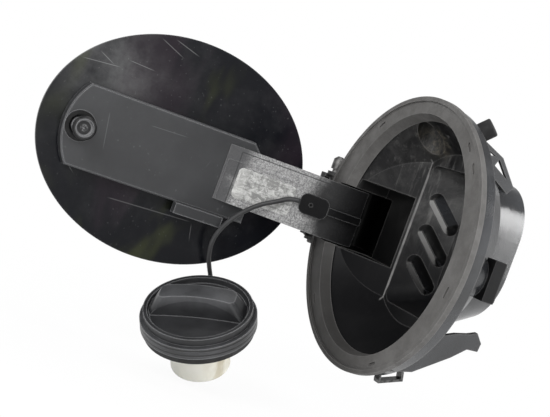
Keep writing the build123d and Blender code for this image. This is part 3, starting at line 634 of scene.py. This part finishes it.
# Tether: one smooth line through the route of the solid tube, from the clip down to the ring
tether_route = [
    (-0.08099, -0.02338, -0.00200),
    (-0.08365, -0.02876, -0.00200),
    (-0.0854, -0.0368, -0.0074),
    (-0.0890, -0.0457, -0.0129),
    (-0.0933, -0.0543, -0.0223),
    (-0.0966, -0.0596, -0.0312),
    (-0.0998, -0.0620, -0.0390),
    (-0.1018, -0.0628, -0.0460),
    (-0.1037, -0.0613, -0.0535),
    (-0.1062, -0.0578, -0.0615),
    (-0.11067, -0.05137, -0.07038),
]
tether_diameter = 0.003


def smooth_line(route):
    # Points of the route's own NURBS line
    curve = bpy.data.curves.new("route", "CURVE")
    curve.dimensions = "3D"
    spline = curve.splines.new("NURBS")
    spline.points.add(len(route) - 1)
    for point, place in zip(spline.points, route):
        point.co = (*place, 1.0)
    spline.order_u = 3
    spline.use_endpoint_u = True
    spline.resolution_u = 10
    holder = bpy.data.objects.new("route", curve)
    scene.collection.objects.link(holder)
    bpy.context.view_layer.update()
    line = bpy.data.meshes.new_from_object(holder.evaluated_get(bpy.context.evaluated_depsgraph_get()))
    points = [vertex.co.copy() for vertex in line.vertices]
    bpy.data.objects.remove(holder)
    return points


def tube(name, line, radius, sides=14):
    # Round tube along a line, with both ends closed
    mesh = bpy.data.meshes.new(name)
    body = bmesh.new()
    rings = []
    side = Vector((0, 0, 1))
    for index, point in enumerate(line):
        ahead = line[min(index + 1, len(line) - 1)]
        behind = line[max(index - 1, 0)]
        run = (ahead - behind).normalized()
        side = (side - run * side.dot(run)).normalized()
        other = run.cross(side)
        ring = []
        for step in range(sides):
            angle = 2 * math.pi * step / sides
            ring.append(body.verts.new(point + radius * (math.cos(angle) * side + math.sin(angle) * other)))
        rings.append(ring)
    for first, second in zip(rings, rings[1:]):
        for step in range(sides):
            after = (step + 1) % sides
            body.faces.new((first[step], first[after], second[after], second[step])).smooth = True
    body.faces.new(rings[0][::-1])
    body.faces.new(rings[-1])
    bmesh.ops.recalc_face_normals(body, faces=body.faces)
    body.to_mesh(mesh)
    body.free()
    made = bpy.data.objects.new(name, mesh)
    scene.collection.objects.link(made)
    return made


tether_line = smooth_line(tether_route)
tether_piece = tube("tether_line", tether_line, tether_diameter / 2)
tether_piece.data.materials.append(finishes["tether_cord"])
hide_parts("tether")
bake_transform(tether_piece)


def seen_rays(tree):
    # One for rays that see the white surroundings, also in reflections
    path = tree.nodes.new("ShaderNodeLightPath")
    total = path.outputs["Is Camera Ray"]
    for kind in ("Is Glossy Ray", "Is Transmission Ray"):
        node = tree.nodes.new("ShaderNodeMath")
        node.operation = "MAXIMUM"
        tree.links.new(total, node.inputs[0])
        tree.links.new(path.outputs[kind], node.inputs[1])
        total = node.outputs[0]
    return total


def straight_range(tree, value, low, high, to_low, to_high):
    # A value taken in proportion from one range to another
    node = tree.nodes.new("ShaderNodeMapRange")
    node.inputs["From Min"].default_value = low
    node.inputs["From Max"].default_value = high
    node.inputs["To Min"].default_value = to_low
    node.inputs["To Max"].default_value = to_high
    tree.links.new(value, node.inputs["Value"])
    return node.outputs["Result"]


# Plain white floor that keeps the shadow, under a white sky
floor_half = 3.0
floor_gap = 0.002
floor_z = cad_box[0].z - floor_gap
floor_mesh = bpy.data.meshes.new("floor")
floor_mesh.from_pydata(
    [(x * floor_half, y * floor_half, floor_z) for x, y in ((-1, -1), (1, -1), (1, 1), (-1, 1))],
    [],
    [(0, 1, 2, 3)],
)
floor = bpy.data.objects.new("floor", floor_mesh)
scene.collection.objects.link(floor)
floor_paint = bpy.data.materials.new("floor_white")
floor_paint.use_nodes = True
floor_tree = floor_paint.node_tree
floor_tree.nodes.clear()
floor_out = floor_tree.nodes.new("ShaderNodeOutputMaterial")
floor_mix = floor_tree.nodes.new("ShaderNodeMixShader")
floor_diffuse = floor_tree.nodes.new("ShaderNodeBsdfDiffuse")
floor_diffuse.inputs["Color"].default_value = (0.86, 0.86, 0.86, 1.0)
floor_glow = floor_tree.nodes.new("ShaderNodeEmission")
# The glow grows with the distance from the object, so the floor's edge doesn't show
floor_place = floor_tree.nodes.new("ShaderNodeTexCoord")
floor_reach = floor_tree.nodes.new("ShaderNodeVectorMath")
floor_reach.operation = "LENGTH"
floor_tree.links.new(floor_place.outputs["Object"], floor_reach.inputs[0])
floor_white = straight_range(floor_tree, floor_reach.outputs["Value"], 0.15, 0.50, 0.93, 1.0)
floor_share = floor_tree.nodes.new("ShaderNodeMath")
floor_share.operation = "MULTIPLY"
floor_tree.links.new(seen_rays(floor_tree), floor_share.inputs[0])
floor_tree.links.new(floor_white, floor_share.inputs[1])
floor_tree.links.new(floor_share.outputs[0], floor_mix.inputs["Fac"])
floor_tree.links.new(floor_diffuse.outputs[0], floor_mix.inputs[1])
floor_tree.links.new(floor_glow.outputs[0], floor_mix.inputs[2])
floor_tree.links.new(floor_mix.outputs[0], floor_out.inputs["Surface"])
floor_mesh.materials.append(floor_paint)

# White sky for what sees it, dimmer overhead in reflections, and an even fill for the rest
world = bpy.data.worlds.new("studio")
scene.world = world
world.use_nodes = True
world_tree = world.node_tree
world_tree.nodes.clear()
world_out = world_tree.nodes.new("ShaderNodeOutputWorld")
world_mix = world_tree.nodes.new("ShaderNodeMixShader")
world_fill = world_tree.nodes.new("ShaderNodeBackground")
world_fill.inputs["Color"].default_value = (0.95, 0.97, 1.0, 1.0)
world_fill.inputs["Strength"].default_value = 0.45
world_white = world_tree.nodes.new("ShaderNodeBackground")
world_white.inputs["Color"].default_value = (1.0, 1.0, 1.0, 1.0)
world_path = world_tree.nodes.new("ShaderNodeLightPath")
world_place = world_tree.nodes.new("ShaderNodeTexCoord")
world_height = world_tree.nodes.new("ShaderNodeSeparateXYZ")
world_tree.links.new(world_place.outputs["Generated"], world_height.inputs[0])
world_fade = straight_range(world_tree, world_height.outputs["Z"], 0.10, 0.65, 1.0, 0.25)
world_level = world_tree.nodes.new("ShaderNodeMath")
world_level.operation = "MAXIMUM"
world_tree.links.new(world_fade, world_level.inputs[0])
world_tree.links.new(world_path.outputs["Is Camera Ray"], world_level.inputs[1])
world_tree.links.new(world_level.outputs[0], world_white.inputs["Strength"])
world_tree.links.new(seen_rays(world_tree), world_mix.inputs["Fac"])
world_tree.links.new(world_fill.outputs[0], world_mix.inputs[1])
world_tree.links.new(world_white.outputs[0], world_mix.inputs[2])
world_tree.links.new(world_mix.outputs[0], world_out.inputs["Surface"])

lamp_target = Vector((-0.03, -0.05, 0.0))


def lamp(name, place, size, power):
    # Soft rectangular studio lamp that looks at the object's middle
    data = bpy.data.lights.new(name, "AREA")
    data.shape = "RECTANGLE"
    data.size = size[0]
    data.size_y = size[1]
    data.energy = power
    made = bpy.data.objects.new(name, data)
    made.location = place
    made.rotation_mode = "QUATERNION"
    made.rotation_quaternion = (lamp_target - Vector(place)).to_track_quat("-Z", "Y")
    scene.collection.objects.link(made)


lamp("key", (0.58, -0.85, 0.62), (0.5, 0.5), 10.0)
lamp("front", (0.95, -0.20, 0.15), (0.7, 0.7), 4.0)
lamp("side", (0.45, 0.80, 0.35), (0.4, 0.8), 7.0)
lamp("top", (-0.10, 0.05, 0.95), (0.9, 0.5), 3.0)
